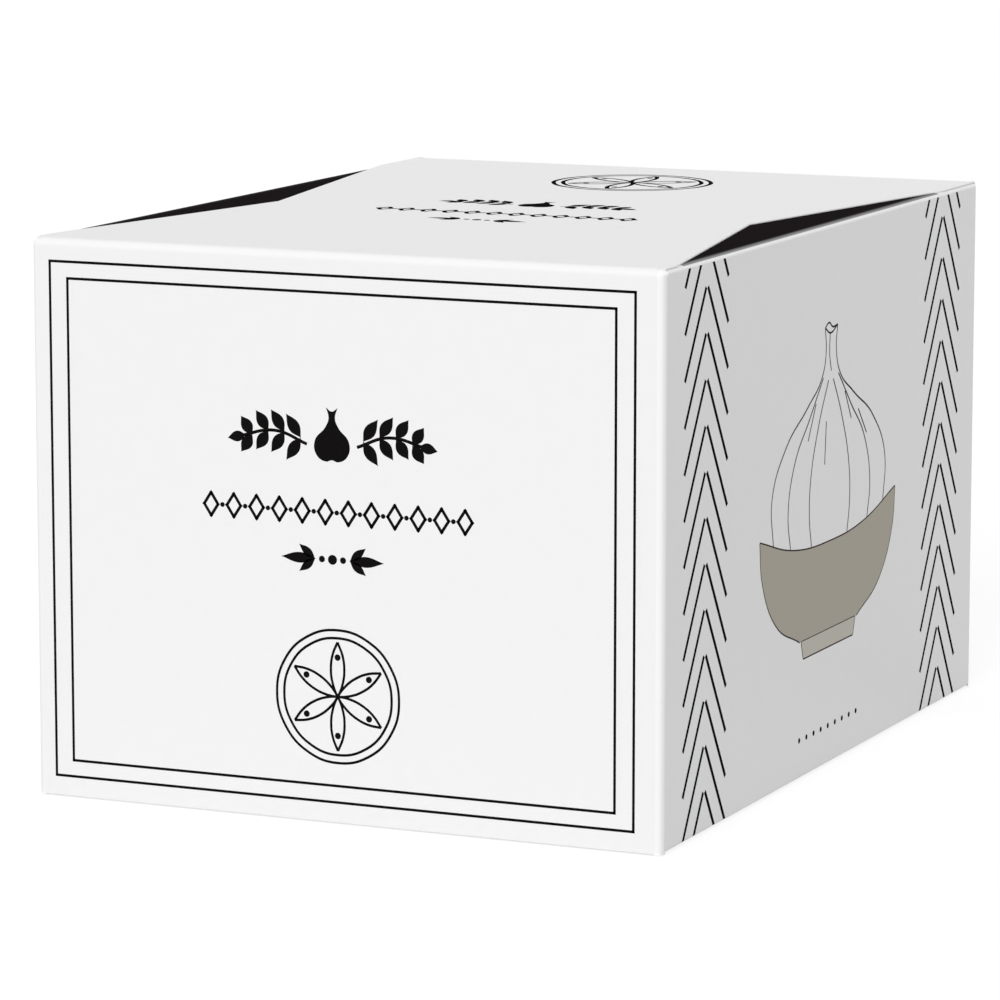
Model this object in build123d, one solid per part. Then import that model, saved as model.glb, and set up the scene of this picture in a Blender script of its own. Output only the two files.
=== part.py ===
from build123d import *
from math import asin, cos, degrees, radians, sin
import os

# A garlic keeper packed in its folding carton. The carton is one creased blank of thin white board,
# and each panel between two creases is a piece of its own. The origin is at the middle of the
# bottom, the front faces -Y and +Z is up. Lengths are in millimetres, angles in degrees.

# Closed carton, outside
WIDTH = 166.0
DEPTH = 222.0
HEIGHT = 138.0
BOARD = 0.4

# Creases: outer radius of each fold
UPRIGHT_FOLD = 2.0
LID_FOLD = 2.0
TUCK_FOLD = 1.5
FLAP_FOLD = 0.9
BOTTOM_FOLD = 0.6
CREASE_SLIT = 2.0  # angle left open on the moving side of a crease
CREASE_END_GAP = 0.06  # from the ends of a moving crease to what stands beside it
LAYER_GAP = 0.05  # between two boards that lie on each other
REAR_CORNER_DROP = 0.5  # how far the rear upright folds end below the lid's face
CORNER_FOOT = 0.1  # how far all upright folds end above the ground
CUT_BEVEL = 0.2  # by how much the die rounds off the lid's cut edges

# Lid
LID_SIDE_INSET = 0.55
LID_CORNER_GAP = 0.2  # from the upright folds to the lid's front corners
LID_REAR_INSET = 0.4  # from the carton's back to the lid's rear corners, left flat beside the tuck's crease
LID_REAR_CORNER = 0.6
NOTCH_DEPTH = 17.0
NOTCH_FRONT = -102.3
NOTCH_APEX = -12.0
NOTCH_REAR = 85.0

# Tuck flap, which leans inwards a little from the upright
TUCK_GAP = 0.4
TUCK_LENGTH = 22.0
TUCK_LEAN = 6.0
TUCK_SIDE_GAP = 2.5
TUCK_CORNER = 14.0
BACK_EDGE_DROP = 0.8

# Dust flaps
DUST_LENGTH = 43.0
DUST_FRONT_GAP = 2.1
DUST_FRONT_TAPER = 37.0
DUST_REAR_GAP = 2.1
DUST_REAR_TAPER = 8.0
DUST_CORNER = 3.0

# Glued bottom and side seam
GLUE_TAB = 15.0
GLUE_TAB_TAPER = 5.0
MINOR_LENGTH = 40.0
SEAM_STEP = 14.0
SEAM_GAP = 0.5

# Insert of small-flute board, folded like a table
INSERT_BOARD = 1.5
INSERT_FOLD = 2.0
INSERT_HEIGHT = 62.0
INSERT_SIDE_GAP = 1.6
INSERT_END_GAP = 1.2
INSERT_CORNER_GAP = 4.0
HOLE_GAP = 0.8

# Keeper: stoneware pot, measured from the bottom of its foot ring
POT_RADIUS = 50.5
POT_WALL = 5.0
POT_FLOOR = 6.0
POT_RIM = 89.0
RIM_ROUND = 2.0
SHOULDER_START = 18.0
BASE_RADIUS = 39.5
FOOT_HEIGHT = 8.5
FOOT_RADIUS = 20.7
FOOT_RECESS_RADIUS = 15.5
FOOT_RECESS_DEPTH = 6.5
FOOT_ROUND = 1.0
FOOT_CORNER = 1.5
BASE_DROOP = 0.5
BASE_ROUND = 5.0
SHOULDER_ROUND = 8.0
FLOOR_ROUND = 9.0
STANDING_GAP = 0.1

# Vent holes: a diamond of nine in the front of the wall
VENT_RADIUS = 2.6
VENT_MOUTH_RADIUS = 3.3
VENT_MOUTH_DEPTH = 0.9  # depth at which the mouth has narrowed to the hole
VENT_ROWS = ((31.0, (0.0,)), (43.2, (-8.9, 8.9)), (56.4, (-17.0, 0.0, 17.0)),
             (68.6, (-9.3, 9.3)), (80.8, (0.0,)))

# Keeper's lid
BRIM_RADIUS = 53.0
BRIM_THICKNESS = 3.4
BRIM_GAP = 0.3
LID_WALL = 5.0
SKIRT_RADIUS = 43.5
SKIRT_WALL = 4.0
SKIRT_DEPTH = 5.0
SKIRT_ROUND = 1.2
SKIRT_CORNER = 0.8
BRIM_ROUND = 1.4
VAULT_ROUND = 6.0
VAULT_CORNER = 3.0
NECK_RADIUS = 9.5
NECK_HEIGHT = 115.8
KNOB_RADIUS = 14.4
KNOB_HOLLOW = 0.9  # how far the side at mid height stands out from the neck
KNOB_WIDE_HEIGHT = 130.6
KNOB_LIP = 1.6
KNOB_TOP = 133.0

# Worked out from the above
HALF_W = WIDTH / 2
HALF_D = DEPTH / 2
FRONT = -HALF_D
DUST_TOP = HEIGHT - BOARD - LAYER_GAP
MINOR_UNDERSIDE = BOARD + LAYER_GAP
FLAT_HALF_W = HALF_W - UPRIGHT_FOLD
TUCK_FACE = HALF_D - BOARD - TUCK_GAP
LID_REAR = TUCK_FACE - TUCK_FOLD
LID_FRONT = FRONT + LID_FOLD
LID_CREASE_HALF = FLAT_HALF_W - CREASE_END_GAP
POT_BASE = BOARD + STANDING_GAP
INSERT_HALF_W = HALF_W - BOARD - INSERT_SIDE_GAP
INSERT_HALF_D = HALF_D - BOARD - INSERT_END_GAP
INSERT_FOOT = MINOR_UNDERSIDE + BOARD + LAYER_GAP
INSERT_CREASE = INSERT_HEIGHT - INSERT_FOLD


def fold(plane, radius, thickness, first, last, length):
    """A bent strip of board about the plane's origin, from angle first to angle last, length long."""
    ring = Circle(radius) - Circle(radius - thickness)
    reach = 2 * radius
    corners = [(reach * cos(radians(a)), reach * sin(radians(a))) for a in (first, last)]
    wedge = Polygon((0, 0), *corners, align=None)
    return extrude(plane * (ring & wedge), amount=length / 2, both=True)


def fold_along_x(y, z, radius, first, last, length, thickness=BOARD):
    """A fold whose crease runs left to right. Angles go from +Y towards +Z."""
    section = Plane(origin=(0, y, z), x_dir=(0, 1, 0), z_dir=(1, 0, 0))
    return fold(section, radius, thickness, first, last, length)


def fold_along_y(x, z, radius, first, last, length, thickness=BOARD, y=0.0):
    """A fold whose crease runs front to back. Angles go from +X towards +Z."""
    section = Plane(origin=(x, y, z), x_dir=(1, 0, 0), z_dir=(0, -1, 0))
    return fold(section, radius, thickness, first, last, length)


def slab(low, high):
    """A flat piece of board between two opposite corners."""
    size = [b - a for a, b in zip(low, high)]
    middle = [(a + b) / 2 for a, b in zip(low, high)]
    return Pos(*middle) * Box(*size)


def plate(points, z, thickness):
    """A flat piece of board cut to an outline in plan, with its underside at z."""
    return Pos(0, 0, z) * extrude(Polygon(*points, align=None), amount=thickness)


def upright_fold(x_side, y_side, first, last, top):
    """Half of an upright corner of the sleeve. Angles go from +X towards +Y."""
    middle = (x_side * FLAT_HALF_W, y_side * (HALF_D - UPRIGHT_FOLD), (CORNER_FOOT + top) / 2)
    return fold(Plane(origin=middle), UPRIGHT_FOLD, BOARD, first, last, top - CORNER_FOOT)


def rear_corner(x_side, first, last):
    """Half of a rear corner, which ends under the lid."""
    return upright_fold(x_side, 1, first, last, HEIGHT - REAR_CORNER_DROP)


def front_corner(x_side, first, last):
    """Half of a front corner, whose top end is pressed round beside the lid's crease."""
    start = HEIGHT - UPRIGHT_FOLD
    middle = Plane(origin=(x_side * FLAT_HALF_W, FRONT + UPRIGHT_FOLD, start))
    reach = 2 * UPRIGHT_FOLD
    corners = [(reach * cos(radians(a)), reach * sin(radians(a))) for a in (first, last)]
    wedge = extrude(middle * Polygon((0, 0), *corners, align=None), amount=UPRIGHT_FOLD)
    ball = middle * (Sphere(UPRIGHT_FOLD) - Sphere(UPRIGHT_FOLD - BOARD))
    return upright_fold(x_side, -1, first, last, start) + (ball & wedge)


def front_panel():
    """Front of the sleeve, from the bottom crease to the lid's crease."""
    sheet = slab((-FLAT_HALF_W, FRONT, BOTTOM_FOLD), (FLAT_HALF_W, FRONT + BOARD, HEIGHT - LID_FOLD))
    lid_side = fold_along_x(LID_FRONT, HEIGHT - LID_FOLD, LID_FOLD, 135, 180, 2 * FLAT_HALF_W)
    floor_side = fold_along_x(FRONT + BOTTOM_FOLD, BOTTOM_FOLD, BOTTOM_FOLD, 180, 225, 2 * FLAT_HALF_W)
    return sheet + lid_side + floor_side + front_corner(-1, 225, 270) + front_corner(1, 270, 315)


def back_panel():
    """Back of the sleeve. Its top edge is cut, because the tuck flap slides in behind it."""
    top = HEIGHT - BACK_EDGE_DROP
    sheet = slab((-FLAT_HALF_W, HALF_D - BOARD, BOTTOM_FOLD), (FLAT_HALF_W, HALF_D, top))
    floor_side = fold_along_x(HALF_D - BOTTOM_FOLD, BOTTOM_FOLD, BOTTOM_FOLD, 315, 360, 2 * FLAT_HALF_W)
    return sheet + floor_side + rear_corner(-1, 90, 135) + rear_corner(1, 45, 90)


def right_panel():
    """Right side of the sleeve, from its bottom flap to its dust flap."""
    flat = HALF_D - UPRIGHT_FOLD
    low = MINOR_UNDERSIDE + BOTTOM_FOLD
    high = DUST_TOP - FLAP_FOLD
    sheet = slab((HALF_W - BOARD, -flat, low), (HALF_W, flat, high))
    top = fold_along_y(HALF_W - FLAP_FOLD, high, FLAP_FOLD, 0, 45, 2 * flat)
    bottom = fold_along_y(HALF_W - BOTTOM_FOLD, low, BOTTOM_FOLD, 315, 360, 2 * flat)
    return sheet + top + bottom + front_corner(1, 315, 360) + rear_corner(1, 0, 45)


def glue_tab():
    """Strip on the back panel's left edge, glued to the inside of the left panel."""
    outer = -HALF_W + BOARD
    rear = HALF_D - UPRIGHT_FOLD
    low = MINOR_UNDERSIDE + BOTTOM_FOLD + GLUE_TAB_TAPER
    high = DUST_TOP - FLAP_FOLD - GLUE_TAB_TAPER
    outline = [(rear, low - GLUE_TAB_TAPER), (rear, high + GLUE_TAB_TAPER), (rear - GLUE_TAB, high),
               (rear - GLUE_TAB, low)]
    face = Plane(origin=(outer, 0, 0), x_dir=(0, 1, 0), z_dir=(1, 0, 0)) * Polygon(*outline, align=None)
    return extrude(face, amount=BOARD)


def lid_outline():
    """Plan of the lid: a V in each side, front corners that clear the sleeve's, and flat rear corners."""
    side = HALF_W - LID_SIDE_INSET
    front = LID_FRONT + LID_CORNER_GAP
    rear = HALF_D - LID_REAR_INSET
    tuck_end = FLAT_HALF_W + CREASE_END_GAP
    right = [(LID_CREASE_HALF, LID_FRONT), (LID_CREASE_HALF, front), (side, front),
             (side, NOTCH_FRONT), (side - NOTCH_DEPTH, NOTCH_APEX), (side, NOTCH_REAR),
             (side, rear - LID_REAR_CORNER), (side - LID_REAR_CORNER, rear), (tuck_end, rear),
             (tuck_end, LID_REAR)]
    return right + [(-x, y) for x, y in reversed(right)]


def lid_panel():
    """Lid, hinged on the crease at the front panel's top edge. Its side edges are cut with a die."""
    sheet = plate(lid_outline(), HEIGHT - BOARD, BOARD)
    face_edges = sheet.faces().sort_by(Axis.Z)[-1].edges()
    sides = [edge for edge in face_edges if abs(edge.center().X) > NOTCH_DEPTH and edge.length > LID_FOLD]
    sheet = chamfer(sides, CUT_BEVEL)
    front = fold_along_x(LID_FRONT, HEIGHT - LID_FOLD, LID_FOLD, 90, 135 - CREASE_SLIT, 2 * LID_CREASE_HALF)
    rear = fold_along_x(LID_REAR, HEIGHT - TUCK_FOLD, TUCK_FOLD, 45, 90, 2 * FLAT_HALF_W)
    return sheet + front + rear


def tuck_flap():
    """Flap on the lid's rear crease. Its far corners are rounded so that it slides in."""
    bend = fold_along_x(LID_REAR, HEIGHT - TUCK_FOLD, TUCK_FOLD, -TUCK_LEAN, 45 - CREASE_SLIT,
                        2 * FLAT_HALF_W)
    lean = radians(TUCK_LEAN)
    root = (0, LID_REAR + TUCK_FOLD * cos(lean), HEIGHT - TUCK_FOLD - TUCK_FOLD * sin(lean))
    outer_face = Plane(origin=root, x_dir=(1, 0, 0), z_dir=(0, cos(lean), -sin(lean)))
    half = HALF_W - TUCK_SIDE_GAP
    outline = Polygon((-half, 0), (half, 0), (half, TUCK_LENGTH), (-half, TUCK_LENGTH), align=None)
    far_corners = outline.vertices().sort_by(Axis.Y)[2:]
    outline = fillet(far_corners, TUCK_CORNER)
    return bend + extrude(outer_face * outline, amount=-BOARD)


def right_dust_flap():
    """Flap on the right panel's top crease, with its front edge cut back so that the lid lifts clear."""
    root = HALF_W - FLAP_FOLD
    tip = root - DUST_LENGTH
    front = FRONT + DUST_FRONT_GAP
    rear = HALF_D - DUST_REAR_GAP
    points = [(root, front), (root, rear), (tip, rear - DUST_REAR_TAPER), (tip, front + DUST_FRONT_TAPER)]
    outline = Polygon(*points, align=None)
    outline = fillet(outline.vertices().sort_by(Axis.X)[:2], DUST_CORNER)
    sheet = Pos(0, 0, DUST_TOP - BOARD) * extrude(outline, amount=BOARD)
    bend = fold_along_y(root, DUST_TOP - FLAP_FOLD, FLAP_FOLD, 45 + CREASE_SLIT, 90, rear - front,
                        y=(front + rear) / 2)
    return sheet + bend


def bottom_front_flap():
    """Outer bottom flap. Its rear edge is stepped where it hooks into the other one."""
    root = FRONT + BOTTOM_FOLD
    middle = -SEAM_GAP / 2
    near, far = middle - SEAM_STEP, middle + SEAM_STEP
    points = [(-FLAT_HALF_W, root), (FLAT_HALF_W, root), (FLAT_HALF_W, near), (middle, near), (middle, far),
              (-FLAT_HALF_W, far)]
    bend = fold_along_x(root, BOTTOM_FOLD, BOTTOM_FOLD, 225, 270, 2 * FLAT_HALF_W)
    return plate(points, 0, BOARD) + bend


def bottom_right_flap():
    """Inner bottom flap, glued on top of the two outer ones."""
    root = HALF_W - BOTTOM_FOLD
    tip = root - MINOR_LENGTH
    edge = HALF_D - UPRIGHT_FOLD
    points = [(root, -edge), (root, edge), (tip, edge - MINOR_LENGTH), (tip, -edge + MINOR_LENGTH)]
    bend = fold_along_y(root, MINOR_UNDERSIDE + BOTTOM_FOLD, BOTTOM_FOLD, 270, 315, 2 * edge)
    return plate(points, MINOR_UNDERSIDE, BOARD) + bend


def insert_deck():
    """Top of the insert, with the round hole that the pot stands in."""
    flat_w = INSERT_HALF_W - INSERT_FOLD
    flat_d = INSERT_HALF_D - INSERT_FOLD
    deck = slab((-flat_w, -flat_d, INSERT_HEIGHT - INSERT_BOARD), (flat_w, flat_d, INSERT_HEIGHT))
    long_x = 2 * (flat_w - INSERT_CORNER_GAP)
    long_y = 2 * (flat_d - INSERT_CORNER_GAP)
    deck += fold_along_x(-flat_d, INSERT_CREASE, INSERT_FOLD, 90, 135, long_x, INSERT_BOARD)
    deck += fold_along_x(flat_d, INSERT_CREASE, INSERT_FOLD, 45, 90, long_x, INSERT_BOARD)
    deck += fold_along_y(-flat_w, INSERT_CREASE, INSERT_FOLD, 90, 135, long_y, INSERT_BOARD)
    deck += fold_along_y(flat_w, INSERT_CREASE, INSERT_FOLD, 45, 90, long_y, INSERT_BOARD)
    hole = Pos(0, 0, INSERT_HEIGHT) * Cylinder(POT_RADIUS + HOLE_GAP, 4 * INSERT_BOARD)
    return deck - hole


def insert_front_leg():
    """Leg folded down from the deck's front edge."""
    half_long = INSERT_HALF_W - INSERT_FOLD - INSERT_CORNER_GAP
    face = -INSERT_HALF_D
    sheet = slab((-half_long, face, INSERT_FOOT), (half_long, face + INSERT_BOARD, INSERT_CREASE))
    bend = fold_along_x(face + INSERT_FOLD, INSERT_CREASE, INSERT_FOLD, 135, 180, 2 * half_long,
                        INSERT_BOARD)
    return sheet + bend


def insert_right_leg():
    """Leg folded down from the deck's right edge."""
    half_long = INSERT_HALF_D - INSERT_FOLD - INSERT_CORNER_GAP
    face = INSERT_HALF_W
    sheet = slab((face - INSERT_BOARD, -half_long, INSERT_FOOT), (face, half_long, INSERT_CREASE))
    bend = fold_along_y(face - INSERT_FOLD, INSERT_CREASE, INSERT_FOLD, 0, 45, 2 * half_long, INSERT_BOARD)
    return sheet + bend


def vent(x, z):
    """Cutter for one vent hole, square to the wall, with a softened mouth."""
    angle = degrees(asin(x / POT_RADIUS))
    drill = Cylinder(VENT_RADIUS, 4 * POT_WALL)
    mouth = Cone(VENT_RADIUS, 2 * VENT_MOUTH_RADIUS - VENT_RADIUS, 2 * VENT_MOUTH_DEPTH)
    outwards = Plane(origin=(0, -POT_RADIUS, z), x_dir=(1, 0, 0), z_dir=(0, -1, 0))
    return Rot(0, 0, angle) * (outwards * (drill + mouth))


def pot_body():
    """Pot with a straight wall, a rounded-in base and a narrow foot ring."""
    cavity = POT_RADIUS - POT_WALL
    floor = FOOT_HEIGHT + POT_FLOOR
    points = {
        (0, FOOT_RECESS_DEPTH): 0,
        (FOOT_RECESS_RADIUS, FOOT_RECESS_DEPTH): FOOT_CORNER,
        (FOOT_RECESS_RADIUS, 0): FOOT_ROUND,
        (FOOT_RADIUS, 0): FOOT_ROUND,
        (FOOT_RADIUS, FOOT_HEIGHT): FOOT_CORNER,
        (BASE_RADIUS, FOOT_HEIGHT + BASE_DROOP): BASE_ROUND,
        (POT_RADIUS, SHOULDER_START): SHOULDER_ROUND,
        (POT_RADIUS, POT_RIM): RIM_ROUND,
        (cavity, POT_RIM): RIM_ROUND,
        (cavity, floor): FLOOR_ROUND,
        (0, floor): 0,
    }
    outline = FilletPolyline(*points, radius=list(points.values()), close=True)
    pot = Pos(0, 0, POT_BASE) * revolve(Plane.XZ * make_face(outline), axis=Axis.Z)
    for height, offsets in VENT_ROWS:
        for x in offsets:
            pot -= vent(x, POT_BASE + height)
    return pot


def pot_lid():
    """Conical lid with a locating skirt underneath and a knob that flares to a shallow dome."""
    underside = POT_RIM + BRIM_GAP
    brim_top = underside + BRIM_THICKNESS
    skirt_inner = SKIRT_RADIUS - SKIRT_WALL
    skirt_foot = underside - SKIRT_DEPTH
    slope = (NECK_HEIGHT - brim_top) / (BRIM_RADIUS - NECK_RADIUS)
    vault = underside + slope * (skirt_inner - NECK_RADIUS) - LID_WALL / 2
    corners = {
        (NECK_RADIUS, vault): VAULT_ROUND,
        (skirt_inner, underside): VAULT_CORNER,
        (skirt_inner, skirt_foot): SKIRT_ROUND,
        (SKIRT_RADIUS, skirt_foot): SKIRT_ROUND,
        (SKIRT_RADIUS, underside): SKIRT_CORNER,
        (BRIM_RADIUS, underside): BRIM_ROUND,
        (BRIM_RADIUS, brim_top): BRIM_ROUND,
    }
    below = FilletPolyline((0, vault), *corners, (NECK_RADIUS, NECK_HEIGHT), radius=list(corners.values()))
    flare_middle = (NECK_RADIUS + KNOB_HOLLOW, (NECK_HEIGHT + KNOB_WIDE_HEIGHT) / 2)
    flare = ThreePointArc((NECK_RADIUS, NECK_HEIGHT), flare_middle, (KNOB_RADIUS, KNOB_WIDE_HEIGHT))
    lip_top = (KNOB_RADIUS - KNOB_LIP, KNOB_WIDE_HEIGHT + KNOB_LIP)
    lip = RadiusArc((KNOB_RADIUS, KNOB_WIDE_HEIGHT), lip_top, -KNOB_LIP)
    rise = KNOB_TOP - lip_top[1]
    dome_radius = (lip_top[0] ** 2 + rise ** 2) / (2 * rise)
    edge_angle = degrees(asin(lip_top[0] / dome_radius))
    dome = CenterArc((0, KNOB_TOP - dome_radius), dome_radius, 90 - edge_angle, edge_angle)
    axis = Line((0, KNOB_TOP), (0, vault))
    profile = make_face(Curve() + [below, flare, lip, dome, axis])
    return Pos(0, 0, POT_BASE) * revolve(Plane.XZ * profile, axis=Axis.Z)


def left_of(right_shape):
    return mirror(right_shape, about=Plane.YZ)


parts = {
    "front_panel": front_panel(),
    "back_panel": back_panel(),
    "right_panel": right_panel(),
    "left_panel": left_of(right_panel()),
    "glue_tab": glue_tab(),
    "lid_panel": lid_panel(),
    "tuck_flap": tuck_flap(),
    "right_dust_flap": right_dust_flap(),
    "left_dust_flap": left_of(right_dust_flap()),
    "bottom_front_flap": bottom_front_flap(),
    "bottom_back_flap": Rot(0, 0, 180) * bottom_front_flap(),
    "bottom_right_flap": bottom_right_flap(),
    "bottom_left_flap": left_of(bottom_right_flap()),
    "insert_deck": insert_deck(),
    "insert_front_leg": insert_front_leg(),
    "insert_back_leg": Rot(0, 0, 180) * insert_front_leg(),
    "insert_right_leg": insert_right_leg(),
    "insert_left_leg": left_of(insert_right_leg()),
    "pot_body": pot_body(),
    "pot_lid": pot_lid(),
}

os.makedirs("parts", exist_ok=True)
for name, shape in parts.items():
    export_step(shape, f"parts/{name}.step")
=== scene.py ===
from math import atan2, cos, pi, radians, sin

import bmesh
import bpy
from mathutils import Matrix, Vector


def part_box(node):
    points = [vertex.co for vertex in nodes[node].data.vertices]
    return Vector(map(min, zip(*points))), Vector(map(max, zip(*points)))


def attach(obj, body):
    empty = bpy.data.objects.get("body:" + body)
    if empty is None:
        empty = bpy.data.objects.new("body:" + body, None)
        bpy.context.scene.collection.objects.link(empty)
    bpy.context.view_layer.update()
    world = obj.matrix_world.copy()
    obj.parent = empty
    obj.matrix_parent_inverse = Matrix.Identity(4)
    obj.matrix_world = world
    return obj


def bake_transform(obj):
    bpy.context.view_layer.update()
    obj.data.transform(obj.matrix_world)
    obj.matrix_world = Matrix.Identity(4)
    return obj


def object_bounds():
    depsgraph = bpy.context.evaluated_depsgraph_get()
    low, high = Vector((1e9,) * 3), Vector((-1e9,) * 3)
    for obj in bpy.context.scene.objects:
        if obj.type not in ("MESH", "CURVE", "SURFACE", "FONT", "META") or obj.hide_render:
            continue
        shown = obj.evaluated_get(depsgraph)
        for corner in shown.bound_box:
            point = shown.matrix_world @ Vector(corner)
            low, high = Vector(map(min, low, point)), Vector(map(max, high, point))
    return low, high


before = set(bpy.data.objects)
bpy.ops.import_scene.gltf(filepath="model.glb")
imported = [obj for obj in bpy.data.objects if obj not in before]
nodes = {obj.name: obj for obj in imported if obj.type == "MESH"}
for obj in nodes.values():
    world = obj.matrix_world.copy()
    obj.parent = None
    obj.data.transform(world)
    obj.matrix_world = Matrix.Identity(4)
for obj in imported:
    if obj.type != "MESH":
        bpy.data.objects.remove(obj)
cad_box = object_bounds()


# ---------------------------------------------------------------------------------------------
# Pot. Wheel-thrown stoneware that stands in the insert on a narrow foot ring. It is dipped in
# white glaze down to half its height and in a matt taupe one below; the foot ring stays bare.
# ---------------------------------------------------------------------------------------------

MM = 0.001


def tone(*levels):
    """A colour from its display levels, 0 to 255."""
    return [((level / 255 + 0.055) / 1.055) ** 2.4 for level in levels] + [1]


def finish(name, roughness, specular):
    """A new material, with its shader and the place on the piece that its patterns are drawn by."""
    material = bpy.data.materials.new(name)
    material.use_nodes = True
    shader = material.node_tree.nodes["Principled BSDF"]
    shader.inputs["Roughness"].default_value = roughness
    shader.inputs["Specular IOR Level"].default_value = specular
    return material, shader, add(material.node_tree, "ShaderNodeTexCoord")


def add(tree, kind, **settings):
    """A new node with these settings."""
    step = tree.nodes.new(kind)
    for setting, value in settings.items():
        setattr(step, setting, value)
    return step


def feed(tree, socket, value):
    """Links a socket to another node's output, or sets it to a plain value."""
    if isinstance(value, bpy.types.NodeSocket):
        tree.links.new(value, socket)
    else:
        socket.default_value = value


def maths(tree, operation, *values):
    """One step of arithmetic on numbers."""
    step = add(tree, "ShaderNodeMath", operation=operation)
    for socket, value in zip(step.inputs, values):
        feed(tree, socket, value)
    return step.outputs[0]


def across(tree, operation, *vectors):
    """One step of arithmetic on vectors. Dot products and lengths come out as numbers."""
    step = add(tree, "ShaderNodeVectorMath", operation=operation)
    for socket, value in zip(step.inputs, vectors):
        feed(tree, socket, value)
    return step.outputs["Value" if operation in ("DOT_PRODUCT", "LENGTH") else "Vector"]


def rise(tree, value, low, high):
    """0 up to low and 1 from high on, with a smooth rise between them."""
    step = add(tree, "ShaderNodeMapRange", interpolation_type="SMOOTHSTEP")
    for socket, given in (("Value", value), ("From Min", low), ("From Max", high)):
        feed(tree, step.inputs[socket], given)
    return step.outputs[0]


def grain(tree, place, size, detail=2.0, stretch=(1, 1, 1)):
    """Cloudy noise from 0 to 1 with spots of about this size in metres, drawn out by stretch."""
    drawn_out = across(tree, "DIVIDE", place, [size * s for s in stretch])
    step = add(tree, "ShaderNodeTexNoise")
    feed(tree, step.inputs["Vector"], drawn_out)
    step.inputs["Scale"].default_value = 1
    step.inputs["Detail"].default_value = detail
    return step.outputs[0]


def specks(tree, place, spacing, radius, kept):
    """1 on scattered round specks, 0 between them. kept is the share of the specks that shows."""
    step = add(tree, "ShaderNodeTexVoronoi")
    feed(tree, step.inputs["Vector"], place)
    step.inputs["Scale"].default_value = 1 / spacing
    share = radius / spacing
    near = rise(tree, step.outputs["Distance"], share, share * 0.6)
    chosen = maths(tree, "LESS_THAN", across(tree, "DOT_PRODUCT", step.outputs["Color"], (1, 0, 0)), kept)
    return maths(tree, "MULTIPLY", near, chosen)


def between(tree, share, first, second):
    """The first colour where share is 0, the second where it is 1."""
    step = add(tree, "ShaderNodeMix", data_type="RGBA")
    for socket, value in zip((step.inputs[0], step.inputs[6], step.inputs[7]), (share, first, second)):
        feed(tree, socket, value)
    return step.outputs[2]


def relief(tree, height, depth, over=None):
    """Raises the surface by up to depth metres where height is 1, on top of another relief."""
    step = add(tree, "ShaderNodeBump")
    step.inputs["Distance"].default_value = depth
    feed(tree, step.inputs["Height"], height)
    if over:
        tree.links.new(over, step.inputs["Normal"])
    return step.outputs[0]


def wear(node, material):
    """Gives a CAD node this finish all over."""
    nodes[node].data.materials.clear()
    nodes[node].data.materials.append(material)


WHITE_GLAZE = tone(232, 229, 220)
GLAZE_POOL = tone(224, 220, 208)
TAUPE_GLAZE = tone(150, 143, 131)
TAUPE_DARK = tone(134, 127, 115)
BARE_CLAY = tone(176, 152, 124)
IRON_SPECK = tone(112, 92, 72)
GLAZE_CLOUD = 14 * MM
TAUPE_CLOUD = 6 * MM
PEEL_SPOT = 1.4 * MM
THROWING_STEP = 4.5 * MM
GLAZE_RELIEF = 0.03 * MM
DIP_HEIGHT = 49.4 * MM
DIP_WOBBLE = 0.9 * MM
DIP_WAVE = 9 * MM
POT_WALL = 4.6 * MM
POT_FLOOR = 14.4 * MM
VENTS_ABOVE = 25 * MM
VENTS_BELOW_RIM = 3 * MM
THIN_RIM = 0.7 * MM
BARE_FOOT = 1.2 * MM


def glaze(name, roughness):
    """Speckled white glaze over clay: its tree and shader, places on the piece, and its colour."""
    material, shader, where = finish(name, roughness, 0.5)
    tree = material.node_tree
    place = where.outputs["Object"]
    radius = across(tree, "LENGTH", across(tree, "MULTIPLY", place, (1, 1, 0)))
    height = across(tree, "DOT_PRODUCT", place, (0, 0, 1))
    cloud = grain(tree, place, GLAZE_CLOUD, 3)
    white = between(tree, rise(tree, cloud, 0.35, 0.75), WHITE_GLAZE, GLAZE_POOL)
    freckles = specks(tree, place, spacing=2.6 * MM, radius=0.3 * MM, kept=0.5)
    freckled = between(tree, maths(tree, "MULTIPLY", freckles, 0.55), white, IRON_SPECK)
    ridges = maths(tree, "SINE", maths(tree, "MULTIPLY", height, 2 * pi / THROWING_STEP))
    waves = relief(tree, ridges, GLAZE_RELIEF)
    orange_peel = relief(tree, grain(tree, place, PEEL_SPOT), GLAZE_RELIEF, over=waves)
    tree.links.new(orange_peel, shader.inputs["Normal"])
    return material, tree, shader, place, radius, height, freckled


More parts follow.
